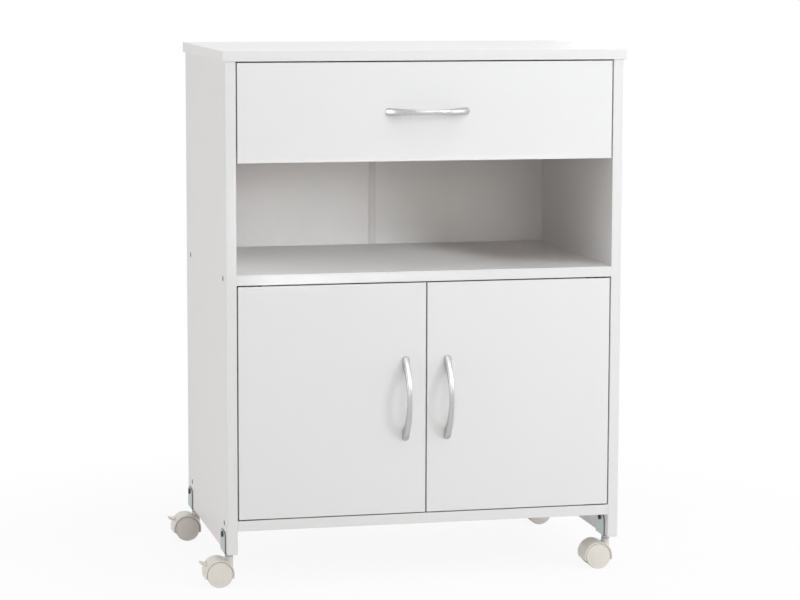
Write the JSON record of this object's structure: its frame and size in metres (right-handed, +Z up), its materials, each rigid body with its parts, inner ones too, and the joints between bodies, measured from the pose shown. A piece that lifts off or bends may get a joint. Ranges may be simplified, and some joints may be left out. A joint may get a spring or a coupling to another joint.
{
  "type": "printer cabinet",
  "caption": "White box cabinet on swivel castors: a drawer over an open compartment over a cupboard with two doors, with metal bow handles.",
  "frame": {"origin": "on the floor, at the centre of the footprint of the whole object with its handles and castors", "axes": "+Z up, -Y towards the front with the drawer and the doors, +X to the right seen from the front"},
  "size_m": [0.6326, 0.412, 0.782],
  "materials": {
    "melamine": "white melamine-faced chipboard, fine orange-peel texture",
    "hardboard": "white printed hardboard, matt",
    "strip_plastic": "white plastic joining strip",
    "dark_steel": "dark steel screw heads",
    "zinc_steel": "bright zinc-plated sheet steel with a faint green cast",
    "beech": "turned beech dowel",
    "white_steel": "white powder-coated sheet steel",
    "nylon": "natural white nylon",
    "magnet": "ferrite magnet",
    "satin_metal": "satin nickel-plated zinc handle",
    "castor_plastic": "ivory moulded plastic, slightly glossy"
  },
  "bodies": {
    "cabinet": {"top_panel": "melamine", "left_side_panel": "melamine", "right_side_panel": "melamine", "fixed_shelf": "melamine", "bottom_panel": "melamine", "left_back_panel": "hardboard", "right_back_panel": "hardboard", "back_joint_strip": "strip_plastic", "side_screws": "dark_steel", "top_cams": "zinc_steel", "top_cam_bolts": "zinc_steel", "dowels": "beech", "left_cabinet_runner": "white_steel", "right_cabinet_runner": "white_steel", "runner_screws": "zinc_steel", "pivot_bushes": "nylon", "door_catch": "nylon", "catch_magnets": "magnet", "castor_brackets": "zinc_steel", "bracket_screws": "zinc_steel", "castor_stems": "zinc_steel"},
    "cabinet_rollers": {"cabinet_rollers": "nylon"},
    "drawer": {"drawer_front": "melamine", "drawer_left_side": "melamine", "drawer_right_side": "melamine", "drawer_back": "melamine", "drawer_bottom": "hardboard", "drawer_cams": "zinc_steel", "drawer_cam_bolts": "zinc_steel", "drawer_dowels": "beech", "left_drawer_runner": "white_steel", "right_drawer_runner": "white_steel", "drawer_runner_screws": "zinc_steel", "drawer_handle": "satin_metal", "drawer_handle_screws": "zinc_steel"},
    "drawer_rollers": {"drawer_rollers": "nylon"},
    "left_door": {"left_door": "melamine", "left_pivot_plates": "zinc_steel", "left_strike_plate": "zinc_steel", "left_door_handle": "satin_metal", "left_door_screws": "zinc_steel"},
    "right_door": {"right_door": "melamine", "right_pivot_plates": "zinc_steel", "right_strike_plate": "zinc_steel", "right_door_handle": "satin_metal", "right_door_screws": "zinc_steel"},
    "front_left_castor": {"front_left_hood": "castor_plastic", "front_left_axle": "zinc_steel"},
    "front_left_wheel_pair": {"front_left_wheels": "castor_plastic"},
    "front_left_brake": {"front_left_lever": "castor_plastic"},
    "front_right_castor": {"front_right_hood": "castor_plastic", "front_right_axle": "zinc_steel"},
    "front_right_wheel_pair": {"front_right_wheels": "castor_plastic"},
    "rear_left_castor": {"rear_left_hood": "castor_plastic", "rear_left_axle": "zinc_steel"},
    "rear_left_wheel_pair": {"rear_left_wheels": "castor_plastic"},
    "rear_left_brake": {"rear_left_lever": "castor_plastic"},
    "rear_right_castor": {"rear_right_hood": "castor_plastic", "rear_right_axle": "zinc_steel"},
    "rear_right_wheel_pair": {"rear_right_wheels": "castor_plastic"}
  },
  "joints": [
    {"name": "drawer_slide", "type": "slide", "parent": "cabinet", "child": "drawer", "axis": [0, -1, 0], "range_m": [0, 0.25]},
    {"name": "cabinet_roller_spin", "type": "hinge", "parent": "cabinet", "child": "cabinet_rollers", "pos_m": [0.01625, -0.147, 0.6463], "axis": [1, 0, 0], "continuous": true},
    {"name": "drawer_roller_spin", "type": "hinge", "parent": "drawer", "child": "drawer_rollers", "pos_m": [0.01625, 0.167, 0.6483], "axis": [1, 0, 0], "continuous": true},
    {"name": "left_door_swing", "type": "hinge", "parent": "cabinet", "child": "left_door", "pos_m": [-0.25775, -0.171, 0.27375], "axis": [0, 0, -1], "range_deg": [0, 100]},
    {"name": "right_door_swing", "type": "hinge", "parent": "cabinet", "child": "right_door", "pos_m": [0.29025, -0.171, 0.27375], "axis": [0, 0, 1], "range_deg": [0, 100]},
    {"name": "front_left_swivel", "type": "hinge", "parent": "cabinet", "child": "front_left_castor", "pos_m": [-0.27225, -0.14, 0.043], "axis": [0, 0, 1], "continuous": true},
    {"name": "front_left_roll", "type": "hinge", "parent": "front_left_castor", "child": "front_left_wheel_pair", "pos_m": [-0.28825, -0.14, 0.019], "axis": [0, 1, 0], "continuous": true},
    {"name": "front_left_brake_press", "type": "hinge", "parent": "front_left_castor", "child": "front_left_brake", "pos_m": [-0.30472, -0.14, 0.03187], "axis": [0, -1, 0], "range_deg": [0, 14]},
    {"name": "front_right_swivel", "type": "hinge", "parent": "cabinet", "child": "front_right_castor", "pos_m": [0.30475, -0.14, 0.043], "axis": [0, 0, 1], "continuous": true},
    {"name": "front_right_roll", "type": "hinge", "parent": "front_right_castor", "child": "front_right_wheel_pair", "pos_m": [0.28875, -0.14, 0.019], "axis": [0, 1, 0], "continuous": true},
    {"name": "rear_left_swivel", "type": "hinge", "parent": "cabinet", "child": "rear_left_castor", "pos_m": [-0.27225, 0.1805, 0.043], "axis": [0, 0, 1], "continuous": true},
    {"name": "rear_left_roll", "type": "hinge", "parent": "rear_left_castor", "child": "rear_left_wheel_pair", "pos_m": [-0.28825, 0.1805, 0.019], "axis": [0, 1, 0], "continuous": true},
    {"name": "rear_left_brake_press", "type": "hinge", "parent": "rear_left_castor", "child": "rear_left_brake", "pos_m": [-0.30472, 0.1805, 0.03187], "axis": [0, -1, 0], "range_deg": [0, 14]},
    {"name": "rear_right_swivel", "type": "hinge", "parent": "cabinet", "child": "rear_right_castor", "pos_m": [0.30475, 0.1805, 0.043], "axis": [0, 0, 1], "continuous": true},
    {"name": "rear_right_roll", "type": "hinge", "parent": "rear_right_castor", "child": "rear_right_wheel_pair", "pos_m": [0.28875, 0.1805, 0.019], "axis": [0, 1, 0], "continuous": true}
  ],
  "couplings": [
    {"joint": "cabinet_roller_spin", "follows": "drawer_slide", "rad_per_m": 142.86},
    {"joint": "drawer_roller_spin", "follows": "drawer_slide", "rad_per_m": 111.11}
  ]
}
